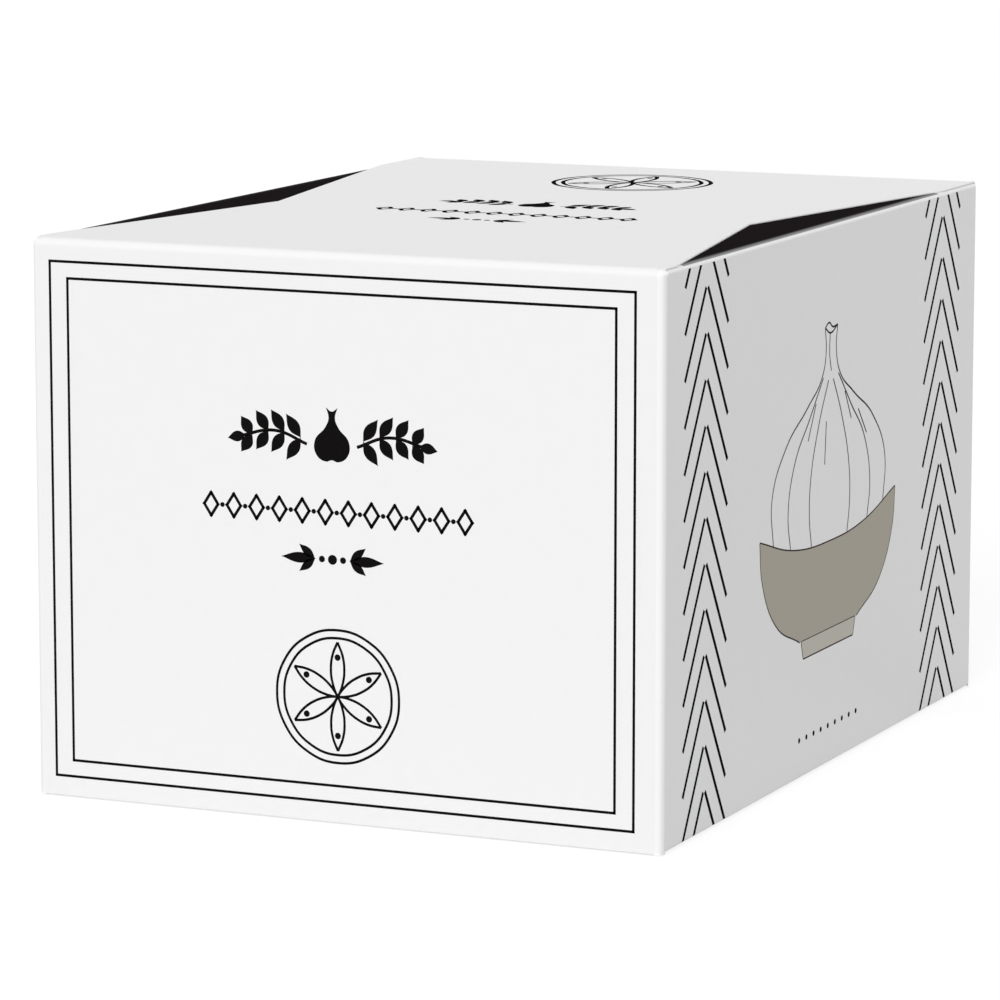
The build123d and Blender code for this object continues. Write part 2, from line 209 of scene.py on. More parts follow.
def pot_finish():
    """White above the dip line, taupe below it on the outside, clay where glaze thins or stops."""
    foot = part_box("pot_body")[0].z
    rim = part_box("pot_body")[1].z
    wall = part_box("pot_body")[1].x
    material, tree, shader, place, radius, height, colour = glaze("two_tone_glaze", 0.3)
    dip = maths(tree, "ADD", height, maths(tree, "MULTIPLY", grain(tree, place, DIP_WAVE), DIP_WOBBLE))
    below = rise(tree, dip, foot + DIP_HEIGHT + DIP_WOBBLE, foot + DIP_HEIGHT)
    inside = maths(tree, "MULTIPLY", rise(tree, radius, wall - POT_WALL + 0.3 * MM, wall - POT_WALL),
                   rise(tree, height, foot + POT_FLOOR - 0.2 * MM, foot + POT_FLOOR))
    lower = maths(tree, "MULTIPLY", below, maths(tree, "SUBTRACT", 1, inside))
    matt = between(tree, grain(tree, place, TAUPE_CLOUD, 4), TAUPE_GLAZE, TAUPE_DARK)
    freckles = specks(tree, place, spacing=2.1 * MM, radius=0.35 * MM, kept=0.6)
    freckled = between(tree, maths(tree, "MULTIPLY", freckles, 0.6), matt, IRON_SPECK)
    colour = between(tree, lower, colour, freckled)
    dip_edge = maths(tree, "MULTIPLY", maths(tree, "MULTIPLY", below, maths(tree, "SUBTRACT", 1, below)), 2.4)
    outside_edge = maths(tree, "MULTIPLY", dip_edge, maths(tree, "SUBTRACT", 1, inside))
    colour = between(tree, outside_edge, colour, IRON_SPECK)
    thin_rim = maths(tree, "MULTIPLY", rise(tree, height, rim - THIN_RIM, rim), 0.7)
    in_wall = maths(tree, "MULTIPLY", rise(tree, radius, wall - 0.15 * MM, wall - 0.7 * MM),
                    rise(tree, radius, wall - POT_WALL - 0.3 * MM, wall - POT_WALL))
    upright = maths(tree, "MULTIPLY", rise(tree, height, foot + VENTS_ABOVE - 1 * MM, foot + VENTS_ABOVE),
                    rise(tree, height, rim - VENTS_BELOW_RIM + 1 * MM, rim - VENTS_BELOW_RIM))
    vent = maths(tree, "MULTIPLY", maths(tree, "MULTIPLY", in_wall, upright), 0.75)
    bare = rise(tree, height, foot + BARE_FOOT, foot + BARE_FOOT - 0.5 * MM)
    clay = maths(tree, "MAXIMUM", maths(tree, "MAXIMUM", thin_rim, vent), bare)
    colour = between(tree, clay, colour, BARE_CLAY)
    tree.links.new(colour, shader.inputs["Base Color"])
    rough = maths(tree, "ADD", 0.28, maths(tree, "MULTIPLY", maths(tree, "MAXIMUM", lower, clay), 0.35))
    tree.links.new(rough, shader.inputs["Roughness"])
    return material


wear("pot_body", pot_finish())


# ---------------------------------------------------------------------------------------------
# The pot's lid. Thrown stoneware with a flared knob, white all over. The seat under its brim
# is wiped bare so that it doesn't stick in the kiln, and the glaze thins on its sharp edges.
# ---------------------------------------------------------------------------------------------

KNOB_EDGE = 14.3 * MM
KNOB_EDGE_BELOW_TOP = 2.6 * MM
SKIRT_RADIUS = 43.4 * MM


def pot_lid_finish():
    """White glaze that shows some clay at the brim's edge and the knob's, and a bare seat."""
    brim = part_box("pot_lid")[1].x
    knob_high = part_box("pot_lid")[1].z - KNOB_EDGE_BELOW_TOP
    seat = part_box("pot_body")[1].z + 0.5 * MM
    material, tree, shader, place, radius, height, colour = glaze("white_glaze", 0.28)
    edge = maths(tree, "MULTIPLY", rise(tree, radius, brim - 0.5 * MM, brim), 0.6)
    knob_edge = maths(tree, "MULTIPLY", rise(tree, radius, KNOB_EDGE - 0.7 * MM, KNOB_EDGE),
                      maths(tree, "MULTIPLY", rise(tree, height, knob_high - 1.4 * MM, knob_high), 0.5))
    under = maths(tree, "MULTIPLY", rise(tree, height, seat + 0.3 * MM, seat),
                  rise(tree, radius, SKIRT_RADIUS - 0.2 * MM, SKIRT_RADIUS))
    clay = maths(tree, "MAXIMUM", maths(tree, "MAXIMUM", edge, knob_edge), under)
    tree.links.new(between(tree, clay, colour, BARE_CLAY), shader.inputs["Base Color"])
    return material


wear("pot_lid", pot_lid_finish())


# ---------------------------------------------------------------------------------------------
# Insert. One sheet of brown small-flute board, folded down on four sides like a table. The
# pot stands in the round hole. Its cut edges show the flute between the two liners, with painted
# shade in the gaps.
# ---------------------------------------------------------------------------------------------

KRAFT = tone(188, 152, 110)
KRAFT_DARK = tone(160, 124, 84)
KRAFT_FLECK = tone(112, 82, 52)
FLUTE_SHADE = tone(70, 48, 30)
FLUTE_PITCH = 3.2 * MM
FLUTE_RELIEF = 0.035 * MM
FLUTE_PAPER = 0.12 * MM
INSERT_THICK = 1.5 * MM
LINER = 0.22 * MM
KRAFT_CLOUD = 11 * MM
KRAFT_FIBRE = 0.9 * MM
KRAFT_RELIEF = 0.05 * MM


def kraft_finish(name, across_flutes, through, face):
    """Brown board with a wave of flutes in the direction across_flutes. through points through the
    sheet, and face is the place of its outer face along that."""
    material, shader, where = finish(name, 0.85, 0.25)
    tree = material.node_tree
    place = where.outputs["Object"]
    fibre = grain(tree, place, KRAFT_FIBRE, 3, stretch=[4 if a == 0 else 1 for a in across_flutes])
    cloud = grain(tree, place, KRAFT_CLOUD, 3)
    liner = between(tree, maths(tree, "MULTIPLY", fibre, cloud), KRAFT, KRAFT_DARK)
    flecks = specks(tree, place, spacing=1.7 * MM, radius=0.22 * MM, kept=0.35)
    liner = between(tree, maths(tree, "MULTIPLY", flecks, 0.7), liner, KRAFT_FLECK)
    phase = maths(tree, "MULTIPLY", across(tree, "DOT_PRODUCT", place, across_flutes), 2 * pi / FLUTE_PITCH)
    wave = maths(tree, "SINE", phase)
    level = across(tree, "DOT_PRODUCT", place, through)
    depth = maths(tree, "ABSOLUTE", maths(tree, "SUBTRACT", level, face))
    middle = maths(tree, "SUBTRACT", depth, INSERT_THICK / 2)
    half_core = INSERT_THICK / 2 - LINER
    flute = maths(tree, "MULTIPLY", wave, half_core)
    off_flute = maths(tree, "ABSOLUTE", maths(tree, "SUBTRACT", middle, flute))
    in_core = rise(tree, maths(tree, "ABSOLUTE", middle), half_core + 0.03 * MM, half_core - 0.03 * MM)
    # The open gaps between the flute and the liners on the cut edges are painted dark as shade (FLUTE_SHADE).
    painted_gap_shade = maths(tree, "MULTIPLY", rise(tree, off_flute, FLUTE_PAPER, FLUTE_PAPER + 0.08 * MM), in_core)
    facing = maths(tree, "ABSOLUTE", across(tree, "DOT_PRODUCT", where.outputs["Normal"], through))
    on_edge = rise(tree, facing, 0.6, 0.5)
    colour = between(tree, maths(tree, "MULTIPLY", painted_gap_shade, on_edge), liner, FLUTE_SHADE)
    tree.links.new(colour, shader.inputs["Base Color"])
    washboard = relief(tree, wave, FLUTE_RELIEF)
    tree.links.new(relief(tree, fibre, KRAFT_RELIEF, over=washboard), shader.inputs["Normal"])
    return material


INSERT_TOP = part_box("insert_deck")[1].z
INSERT_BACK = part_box("insert_back_leg")[1].y
INSERT_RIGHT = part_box("insert_right_leg")[1].x
wear("insert_deck", kraft_finish("kraft_deck", (1, 0, 0), (0, 0, 1), INSERT_TOP))
for side, sign in (("front", -1), ("back", 1)):
    leg = f"insert_{side}_leg"
    wear(leg, kraft_finish(f"kraft_{side}_leg", (1, 0, 0), (0, sign, 0), INSERT_BACK))
for side, sign in (("left", -1), ("right", 1)):
    leg = f"insert_{side}_leg"
    wear(leg, kraft_finish(f"kraft_{side}_leg", (0, 0, 1), (sign, 0, 0), INSERT_RIGHT))


# ---------------------------------------------------------------------------------------------
# Sleeve of the carton. Four panels of thin white board, creased from one blank and glued along
# a tab inside the left edge. The outside is clay coated and smooth, the inside is bare fibre.
# ---------------------------------------------------------------------------------------------

COATED = tone(241, 241, 241)
COATED_CLOUD = tone(239, 239, 239)
BARE_FIBRE = tone(236, 233, 225)
BARE_FIBRE_DARK = tone(226, 222, 212)
CUT_EDGE = tone(245, 245, 244)
CUT_EDGE_DARK = tone(239, 239, 237)
FACING = 0.55
COAT_CLOUD = 5 * MM
COATED_ROUGH, BARE_ROUGH = 0.48, 0.9
MOTTLE_SPOT = 0.35 * MM
MOTTLE_RELIEF = 0.002 * MM
FIBRE_SPOT = 0.45 * MM
FIBRE_RELIEF = 0.03 * MM
LAYER_SPOT = 0.5 * MM


def board_finish(name, outward, outside=None):
    """White board seen from both sides: coated where it faces outward, fibre where it faces in, and a
    layered cut edge. outside draws another colour over the coated side."""
    material, shader, where = finish(name, 0.5, 0.3)
    tree = material.node_tree
    place = where.outputs["Object"]
    facing = across(tree, "DOT_PRODUCT", where.outputs["Normal"], outward)
    coated_side = rise(tree, facing, FACING - 0.05, FACING)
    fibre_side = rise(tree, facing, -FACING + 0.05, -FACING)
    coat = between(tree, grain(tree, place, COAT_CLOUD, 3), COATED, COATED_CLOUD)
    if outside:
        coat = outside(tree, place, coat)
    fibre = grain(tree, place, FIBRE_SPOT, 4, stretch=(1, 1, 3))
    inner = between(tree, fibre, BARE_FIBRE, BARE_FIBRE_DARK)
    edge = between(tree, grain(tree, place, LAYER_SPOT, 3), CUT_EDGE, CUT_EDGE_DARK)
    colour = between(tree, coated_side, between(tree, fibre_side, edge, inner), coat)
    tree.links.new(colour, shader.inputs["Base Color"])
    smoother = maths(tree, "MULTIPLY", coated_side, BARE_ROUGH - COATED_ROUGH)
    tree.links.new(maths(tree, "SUBTRACT", BARE_ROUGH, smoother), shader.inputs["Roughness"])
    mottle = relief(tree, grain(tree, place, MOTTLE_SPOT), MOTTLE_RELIEF)
    tooth = maths(tree, "MULTIPLY", fibre, maths(tree, "SUBTRACT", 1, coated_side))
    tree.links.new(relief(tree, tooth, FIBRE_RELIEF, over=mottle), shader.inputs["Normal"])
    return material


# Painted light: crease colours whiter than the coat. They stand in for the highlight on rounded folds and
# lift the shade under the bottom creases.
CREASE_PAINTED_LIGHT = tone(254, 254, 254)
UPRIGHT_HIGHLIGHT = tone(245, 245, 245)
FLAP_BEND = 0.9 * MM
SIDE_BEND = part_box("right_dust_flap")[1].z - FLAP_BEND
UPRIGHT_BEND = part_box("bottom_front_flap")[1].x
UPRIGHT_FADE = 0.5 * MM
BOTTOM_BEND = 0.6 * MM
BOTTOM_FADE = 0.2 * MM


def front_back_crease_light(tree, place, coat):
    """The coat with painted light on the front's and back's creases: a painted highlight on the upright
    folds, and most at the bottom ones, where it lifts their shade.
    """
    out = maths(tree, "ABSOLUTE", across(tree, "DOT_PRODUCT", place, (1, 0, 0)))
    height = across(tree, "DOT_PRODUCT", place, (0, 0, 1))
    # Painted highlight down the upright folds, then painted light that lifts the shade on the bottom crease.
    upright = between(tree, rise(tree, out, UPRIGHT_BEND, UPRIGHT_BEND + UPRIGHT_FADE), coat, UPRIGHT_HIGHLIGHT)
    return between(tree, rise(tree, height, BOTTOM_BEND, BOTTOM_BEND - BOTTOM_FADE), upright, CREASE_PAINTED_LIGHT)


def side_crease_highlight(tree, place, coat):
    """The coat, with a painted highlight where the side's top crease bends it."""
    height = across(tree, "DOT_PRODUCT", place, (0, 0, 1))
    return between(tree, rise(tree, height, SIDE_BEND - 0.3 * MM, SIDE_BEND + 0.2 * MM), coat, CREASE_PAINTED_LIGHT)


OUTWARD = {"front": (0, -1, 0), "back": (0, 1, 0), "right": (1, 0, 0), "left": (-1, 0, 0)}
for side in ("front", "back"):
    wear(f"{side}_panel", board_finish(f"white_board_{side}", OUTWARD[side], outside=front_back_crease_light))
for side in ("right", "left"):
    wear(f"{side}_panel", board_finish(f"white_board_{side}", OUTWARD[side], outside=side_crease_highlight))
wear("glue_tab", board_finish("white_board_glue_tab", OUTWARD["left"]))


# ---------------------------------------------------------------------------------------------
# Glued bottom. Two inner flaps lie under the insert, and two outer ones hook into each other at
# a stepped seam. They are the same white board, coated on the face that the carton stands on.
# ---------------------------------------------------------------------------------------------

def bottom_crease_light(tree, place, coat):
    """The coat, with painted light that lifts the shade where the outer flaps' creases bend it."""
    out = maths(tree, "ABSOLUTE", across(tree, "DOT_PRODUCT", place, (0, 1, 0)))
    bend_start = cad_box[1].y - BOTTOM_BEND
    return between(tree, rise(tree, out, bend_start, bend_start + BOTTOM_FADE), coat, CREASE_PAINTED_LIGHT)


bottom_board = board_finish("white_board_bottom", (0, 0, -1), outside=bottom_crease_light)
for side in OUTWARD:
    wear(f"bottom_{side}_flap", bottom_board)


# ---------------------------------------------------------------------------------------------
# Dust flaps. They fold in over the pot under the lid. Where the lid's V shows them, they are printed
# solid black from the crease on. On the bend a painted sheen lightens the black, most on the right,
# and the side panel's part of the crease has a painted highlight. The board's coat runs on round
# the crease from the side panel to the flap.
# ---------------------------------------------------------------------------------------------

FLAP_BLACK = tone(34, 30, 32)
FLAP_BLACK_CLOUD = tone(29, 26, 28)
BLACK_CLOUD = 6 * MM
FLAP_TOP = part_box("right_dust_flap")[1].z
BEND_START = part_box("right_panel")[1].x - FLAP_BEND
SHEEN_FADE = 2.2 * MM
BEND_SHEEN = {"right": 0.35, "left": 0.05}
INK_STOP = BEND_START + FLAP_BEND * cos(radians(57))
INK_EDGE = 0.04 * MM
PRINT_FRONT = {"right": -98.5 * MM, "left": -105 * MM}
PRINT_REAR = 80 * MM
SKIN = 0.02 * MM
FLAP_SKIN_ANGLES = (38, 56)


def crease_skin(name, centre, along, radius, angles, length):
    """The outer skin of a fold round a crease, from the first angle to the last about its centre. The
    crease runs along an axis, and angles turn about that axis from the horizontal."""
    first, last = angles
    along = Vector(along)
    sideways = along.cross(Vector((0, 0, 1)))
    arm = Matrix.Rotation(radians(first), 3, -along) @ sideways * (radius + SKIN / 2)
    bend = bmesh.new()
    ends = [bend.verts.new(Vector(centre) + arm + along * half) for half in (-length / 2, length / 2)]
    bend.edges.new(ends)
    bmesh.ops.spin(bend, geom=bend.verts[:] + bend.edges[:], cent=centre, axis=-along, dvec=(0, 0, 0),
                   angle=radians(last - first), steps=16, use_merge=False, use_duplicate=False)
    bmesh.ops.solidify(bend, geom=bend.faces[:], thickness=SKIN)
    bmesh.ops.recalc_face_normals(bend, faces=bend.faces)
    mesh = bpy.data.meshes.new(name)
    bend.to_mesh(mesh)
    bend.free()
    piece = bpy.data.objects.new(name, mesh)
    bpy.context.scene.collection.objects.link(piece)
    return piece


def black_print(sheen_share, front):
    """Paints a flap solid black over its coat from this place at its front on, with a painted sheen that
    lightens it round the bend by up to a share, and not at all on the side panel's part of it, which gets the
    painted highlight colour."""
    def over(tree, place, coat):
        black = between(tree, grain(tree, place, BLACK_CLOUD, 3), FLAP_BLACK, FLAP_BLACK_CLOUD)
        out = maths(tree, "ABSOLUTE", across(tree, "DOT_PRODUCT", place, (1, 0, 0)))
        back = across(tree, "DOT_PRODUCT", place, (0, 1, 0))
        # Painted sheen: the black grows lighter towards the bend, standing in for light reflected off the
        # rounded fold.
        painted_sheen = maths(tree, "MULTIPLY", rise(tree, out, BEND_START - SHEEN_FADE, INK_STOP), sheen_share)
        unprinted = rise(tree, out, INK_STOP, INK_STOP + INK_EDGE)
        beyond = maths(tree, "MAXIMUM", maths(tree, "LESS_THAN", back, front),
                       maths(tree, "GREATER_THAN", back, PRINT_REAR))
        white = maths(tree, "MAXIMUM", maths(tree, "MAXIMUM", painted_sheen, unprinted), beyond)
        # The unprinted part of the crease gets the painted highlight colour.
        return between(tree, white, black, between(tree, unprinted, coat, CREASE_PAINTED_LIGHT))
    return over


for side, sign in (("right", 1), ("left", -1)):
    flap = f"{side}_dust_flap"
    ink = black_print(BEND_SHEEN[side], PRINT_FRONT[side])
    black_board = board_finish(f"black_board_{side}", (0, 0, 1), outside=ink)
    black_board.node_tree.nodes["Principled BSDF"].inputs["Specular IOR Level"].default_value = 0
    wear(flap, black_board)
    low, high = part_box(flap)
    centre = Vector((sign * BEND_START, (low.y + high.y) / 2, FLAP_TOP - FLAP_BEND))
    along = (0, -sign, 0)
    skin = crease_skin(f"{flap}_crease", centre, along, FLAP_BEND, FLAP_SKIN_ANGLES, high.y - low.y)
    skin.data.materials.append(black_board)
    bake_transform(skin)


# ---------------------------------------------------------------------------------------------
# Lid and tuck flap. The lid is hinged on the front panel's top crease and has a shallow V cut
# into each side. The tuck flap bends down from its rear crease and slides in behind the back. The
# board's coat runs on round both creases.
# ---------------------------------------------------------------------------------------------

LID_BEND = 2.0 * MM
TUCK_BEND = 1.5 * MM
LID_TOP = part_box("lid_panel")[1].z
LID_CREASE_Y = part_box("front_panel")[0].y + LID_BEND
TUCK_CREASE_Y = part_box("tuck_flap")[1].y - TUCK_BEND
CREASE_LONG = 2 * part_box("bottom_front_flap")[1].x
LID_SKIN_ANGLES = (38, 54)

wear("lid_panel", board_finish("white_board_lid", (0, 0, 1)))
wear("tuck_flap", board_finish("white_board_tuck", (0, 1, 0)))
lid_skins = (("lid_crease", (1, 0, 0), LID_CREASE_Y, LID_BEND, "carton", "carton_lid"),
             ("tuck_crease", (-1, 0, 0), TUCK_CREASE_Y, TUCK_BEND, "tuck", "carton_lid"))
for name, along, y, radius, body, lid_body in lid_skins:
    centre = Vector((0, y, LID_TOP - radius))
    skin = crease_skin(name, centre, along, radius, LID_SKIN_ANGLES, CREASE_LONG)
    outwards = -1 if y < 0 else 1
    skin.data.materials.append(board_finish(f"white_board_{name}", (0, outwards * 0.7, 0.7)))
    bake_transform(skin)


# ---------------------------------------------------------------------------------------------
# Print on the front and back. Black ink: a double ruled frame round a sprig, a row of lozenges,
# a small flourish and a rosette. The ink stands a few hundredths of a millimetre proud. All
# prints are drawn on flat paper in millimetres, and then laid on their panels.
# ---------------------------------------------------------------------------------------------

INK_HIGH = 0.02 * MM
FRAME_RULE = 0.66
FRAME_WIDE, FRAME_TALL = 153.6, 127.2
INNER_FRAME_WIDE, INNER_FRAME_TALL = 144.0, 119.1
FRAME_MIDDLE = (-1.0, 68.8)
INK_CLOUD = 0.8 * MM
TWIG_LINE = 0.8
LOZENGE_LINE = 0.75
ROSETTE_LINE = 0.65


def ink_finish(name, colour, cloud):
    """Matt ink with a little unevenness in its cover."""
    material, shader, where = finish(name, 0.7, 0)
    tree = material.node_tree
    shade = between(tree, grain(tree, where.outputs["Object"], INK_CLOUD, 3), colour, cloud)
    tree.links.new(shade, shader.inputs["Base Color"])
    return material


def ruled(paper, points, width, closed=False):
    """Straight printed lines from point to point."""
    ends = points[1:] + points[:1] if closed else points[1:]
    for (x, y), (next_x, next_y) in zip(points, ends):
        run = Vector((next_x - x, next_y - y, 0))
        middle = Vector(((x + next_x) / 2, (y + next_y) / 2, 0)) * MM
        size = Matrix.Diagonal(((run.length + width) * MM, width * MM, 2 * INK_HIGH, 1))
        turn = Matrix.Rotation(atan2(run.y, run.x), 4, "Z")
        bmesh.ops.create_cube(paper, size=1, matrix=Matrix.Translation(middle) @ turn @ size)


def spot(paper, x, y, radius):
    """A round printed dot."""
    bmesh.ops.create_cone(paper, cap_ends=True, segments=20, radius1=radius * MM, radius2=radius * MM,
                          depth=2 * INK_HIGH, matrix=Matrix.Translation((x * MM, y * MM, 0)))


def drawn(paper, points, width=0, closed=False, place=Matrix()):
    """A line of this width through the points, or a filled area if it has no width. The shape bends
    smoothly at each point, except where the point says corner."""
    curve = bpy.data.curves.new("drawn_shape", "CURVE")
    curve.dimensions = "3D" if width else "2D"
    curve.resolution_u = 8
    curve.bevel_depth = width / 2 * MM
    curve.bevel_resolution = 0
    curve.use_fill_caps = True
    if not width:
        curve.fill_mode = "BOTH"
        curve.extrude = INK_HIGH
    spline = curve.splines.new("BEZIER")
    spline.use_cyclic_u = closed or not width
    spline.bezier_points.add(len(points) - 1)
    for knot, (x, y, *kind) in zip(spline.bezier_points, points):
        knot.co = (x * MM, y * MM, 0)
        knot.handle_left_type = knot.handle_right_type = "VECTOR" if kind else "AUTO"
    shape = bpy.data.objects.new("drawn_shape", curve)
    bpy.context.scene.collection.objects.link(shape)
    mesh = bpy.data.meshes.new_from_object(shape.evaluated_get(bpy.context.evaluated_depsgraph_get()))
    if width:
        mesh.transform(Matrix.Diagonal((1, 1, 2 * INK_HIGH / (width * MM), 1)))
    mesh.transform(place)
    paper.from_mesh(mesh)
    bpy.data.objects.remove(shape)
    bpy.data.curves.remove(curve)
    bpy.data.meshes.remove(mesh)


def at(x, y, turn=0.0):
    """Where a drawn shape goes on the paper."""
    return Matrix.Translation((x * MM, y * MM, 0)) @ Matrix.Rotation(radians(turn), 4, "Z")


def arc(radius, first, last, count, x=0.0, y=0.0):
    """Points along an arc."""
    angles = [radians(first + (last - first) * i / (count - 1)) for i in range(count)]
    return [(x + radius * cos(a), y + radius * sin(a)) for a in angles]


def leaf(paper, x, y, turn, length, width):
    """A solid leaf with its stalk end at a point."""
    widest = length * 0.45
    points = [(0, 0, "corner"), (widest, width / 2), (length, 0, "corner"), (widest, -width / 2)]
    drawn(paper, points, place=at(x, y, turn))


def ruled_frame(paper, x, y, wide, tall, width):
    """A rectangle of ruled lines about a point."""
    corners = [(x + i * wide / 2, y + j * tall / 2) for i, j in ((-1, -1), (1, -1), (1, 1), (-1, 1))]
    ruled(paper, corners, width, closed=True)


def sprig(paper, x, y):
    """A garlic bulb between two leafy twigs, 54 mm wide and 13 mm high."""
    half_bulb = [(1.5, 6.9, "corner"), (0.85, 4.4), (1.7, 2.2), (4.5, -1.2), (4.1, -4.6), (1.6, -6.1)]
    bulb = half_bulb + [(0, -5.7)] + [(-right, *rest) for right, *rest in reversed(half_bulb)]
    drawn(paper, bulb + [(0, 6.0)], place=at(x, y))
    pairs, pitch, splay = 4, 4.3, 55
    for side in (-1, 1):
        twig = [(x + side * 6.6, y - 2.2), (x + side * 15, y + 0.6), (x + side * 25, y - 1.4)]
        drawn(paper, twig, TWIG_LINE)
        for step in range(pairs):
            stalk = x + side * (8.2 + pitch * step)
            high = y - 1.6 + 2.2 * sin(pi * (step + 0.5) / pairs)
            for up in (-1, 1):
                turn = up * splay if side > 0 else 180 - up * splay
                leaf(paper, stalk, high, turn, 6.8 - 0.5 * step, 3.0)
        leaf(paper, x + side * 22.8, y - 0.9, -12 if side > 0 else 192, 5.0, 2.6)


def lozenge_row(paper, x, y, line):
    """Twelve open lozenges with a dot in each gap, 71 mm wide."""
    count, pitch, half_wide, half_tall = 12, 6.1, 1.85, 2.8
    for number in range(count):
        middle = x + (number - (count - 1) / 2) * pitch
        corners = [(middle + i * half_wide, y + j * half_tall) for i, j in ((-1, 0), (0, -1), (1, 0), (0, 1))]
        ruled(paper, corners, line, closed=True)
        if number:
            spot(paper, middle - pitch / 2, y, 0.6)


def flourish(paper, x, y):
    """Leaves that point away from three dots, 27 mm wide."""
    for side in (-1, 1):
        outwards = 0 if side > 0 else 180
        leaf(paper, x + side * 4.4, y, outwards, 9.2, 2.6)
        for up in (-1, 1):
            leaf(paper, x + side * 4.6, y, outwards + side * up * 38, 5.4, 2.0)
        spot(paper, x + side * 2.8, y, 0.8)
    spot(paper, x, y, 1.2)


def rosette(paper, x, y, radius, line):
    """Six petals drawn with a compass inside two rings."""
    for ring in (radius, radius * 0.88):
        drawn(paper, arc(ring, 0, 330, 12, x, y), line, closed=True)
    inner = radius * 0.82
    for petal in range(6):
        turn = 30 + 60 * petal
        right, up = inner * cos(radians(turn)), inner * sin(radians(turn))
        drawn(paper, arc(inner, turn + 120, turn + 240, 9, x + right, y + up), line)
        spot(paper, x + 0.72 * right, y + 0.72 * up, 0.8)


def face(origin, right, up):
    """Places paper on a panel: origin is the paper's, right and up are its directions."""
    right, up = Vector(right), Vector(up)
    return Matrix.Translation(origin) @ Matrix((right, up, right.cross(up))).transposed().to_4x4()


def printed(name, paper, where, body, material):
    """Presses a drawing onto a panel as a piece of its own."""
    bmesh.ops.recalc_face_normals(paper, faces=paper.faces)
    mesh = bpy.data.meshes.new(name)
    paper.to_mesh(mesh)
    paper.free()
    mesh.transform(where)
    mesh.materials.append(material)
    piece = bpy.data.objects.new(name, mesh)
    bpy.context.scene.collection.objects.link(piece)
    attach(piece, body)


black_ink = ink_finish("black_ink", tone(17, 16, 16), tone(24, 22, 22))
BOX_LOW, BOX_HIGH = cad_box
for side, y, right in (("front", BOX_LOW.y, 1), ("back", BOX_HIGH.y, -1)):
    where = face((0, y, 0), (right, 0, 0), (0, 0, 1))
    frames = bmesh.new()
    ruled_frame(frames, *FRAME_MIDDLE, FRAME_WIDE, FRAME_TALL, FRAME_RULE)
    ruled_frame(frames, *FRAME_MIDDLE, INNER_FRAME_WIDE, INNER_FRAME_TALL, FRAME_RULE)
    printed(f"{side}_frame_print", frames, where, "carton", black_ink)
    ornaments = bmesh.new()
    sprig(ornaments, -2.1, 94.0)
    lozenge_row(ornaments, -0.9, 75.7, LOZENGE_LINE)
    flourish(ornaments, -2.1, 64.3)
    rosette(ornaments, -0.9, 31.1, 16.2, ROSETTE_LINE)
    printed(f"{side}_ornament_print", ornaments, where, "carton", black_ink)


# ---------------------------------------------------------------------------------------------
# Print on the lid. The same ornaments in black ink, read from the front, with the rosette
# behind the sprig. Its rings and the lozenges have heavier lines.
# ---------------------------------------------------------------------------------------------

LID_LINE = 1.2

lid_ornaments = bmesh.new()
rosette(lid_ornaments, 0, 69, 21, LID_LINE)
sprig(lid_ornaments, 0, 7.5)
lozenge_row(lid_ornaments, 0.9, -16.5, LID_LINE)
flourish(lid_ornaments, 0, -32)
printed("lid_ornament_print", lid_ornaments, face((0, 0, BOX_HIGH.z), (1, 0, 0), (0, 1, 0)), "carton_lid",
        black_ink)


# ---------------------------------------------------------------------------------------------
# Print on the two sides. A herringbone band down each edge, and between them a fine line drawing
# of a garlic bulb in a taupe bowl over a short row of dots.
# ---------------------------------------------------------------------------------------------

BAND_MIDDLES = (-84.6, 82.8)
BAND_HALF = 13.3
BAND_TOP = 136.6
BAND_BOTTOM = 0.72
BAND_STEP = 11.0
BAND_RULE = 1.2
BAND_SPINE = 0.9
CREASE_LEVEL, CREASE_BEND, CREASE_CUT = 1.05, 0.6, 0.22
DOTS, DOT_PITCH, DOT_RADIUS = 9, 5.1, 0.7
DOT_ROW_MIDDLE = (-0.4, 10.1)
PICTURE_MIDDLE = (-0.7 * MM, 71.5 * MM, 0)
PICTURE_LINE = 0.5
LINES_ABOVE_TINT = 0.01 * MM

taupe_ink = ink_finish("taupe_ink", tone(184, 179, 167), tone(181, 176, 164))
pale_taupe_ink = ink_finish("pale_taupe_ink", tone(203, 199, 190), tone(200, 196, 187))
line_ink = ink_finish("grey_black_ink", tone(62, 58, 54), tone(70, 66, 62))


def herringbone(paper, x):
    """Slanting strokes that rise to the band's middle, nested one above the other."""
    lean = 1.6
    rows = int((BAND_TOP - BAND_BOTTOM) / BAND_STEP) + 3
    for row in range(rows):
        foot = BAND_BOTTOM - 2 * BAND_STEP + row * BAND_STEP
        for side in (-1, 1):
            top = (x + side * BAND_SPINE, foot + (BAND_HALF - BAND_SPINE) * lean)
            ruled(paper, [(x + side * BAND_HALF, foot), top], BAND_RULE)


def cut_across(paper, level, up=0):
    """Cuts a drawing at a level, and takes away what lies above it if up is 1, or below it if -1."""
    bmesh.ops.bisect_plane(paper, geom=paper.verts[:] + paper.edges[:] + paper.faces[:],
                           plane_co=(0, level * MM, 0), plane_no=(0, up or 1, 0), clear_outer=bool(up))


def round_bottom_crease(paper, start, radius):
    """Lets a drawing run on round the crease that begins at this level."""
    for step in range(3):
        cut_across(paper, start - CREASE_CUT * step)
    for knot in paper.verts:
        below = min(max(start - knot.co.y / MM, 0), radius)
        knot.co.z -= (radius - (radius ** 2 - below ** 2) ** 0.5) * MM


BOWL_SIDE = [(48.4, -7), (46.7, -17), (37.6, -29), (20.4, -36.4)]
BOWL_RIM = [(-48.4, -7), (-26, -12.4), (0, -14), (26, -12.4), (48.4, -7)]
BOWL_FOOT = [(19.4, -36.4), (17.8, -41)]


def flipped(points):
    """The mirror image of a row of points, from its far end back."""
    return [(-x, y) for x, y in reversed(points)]


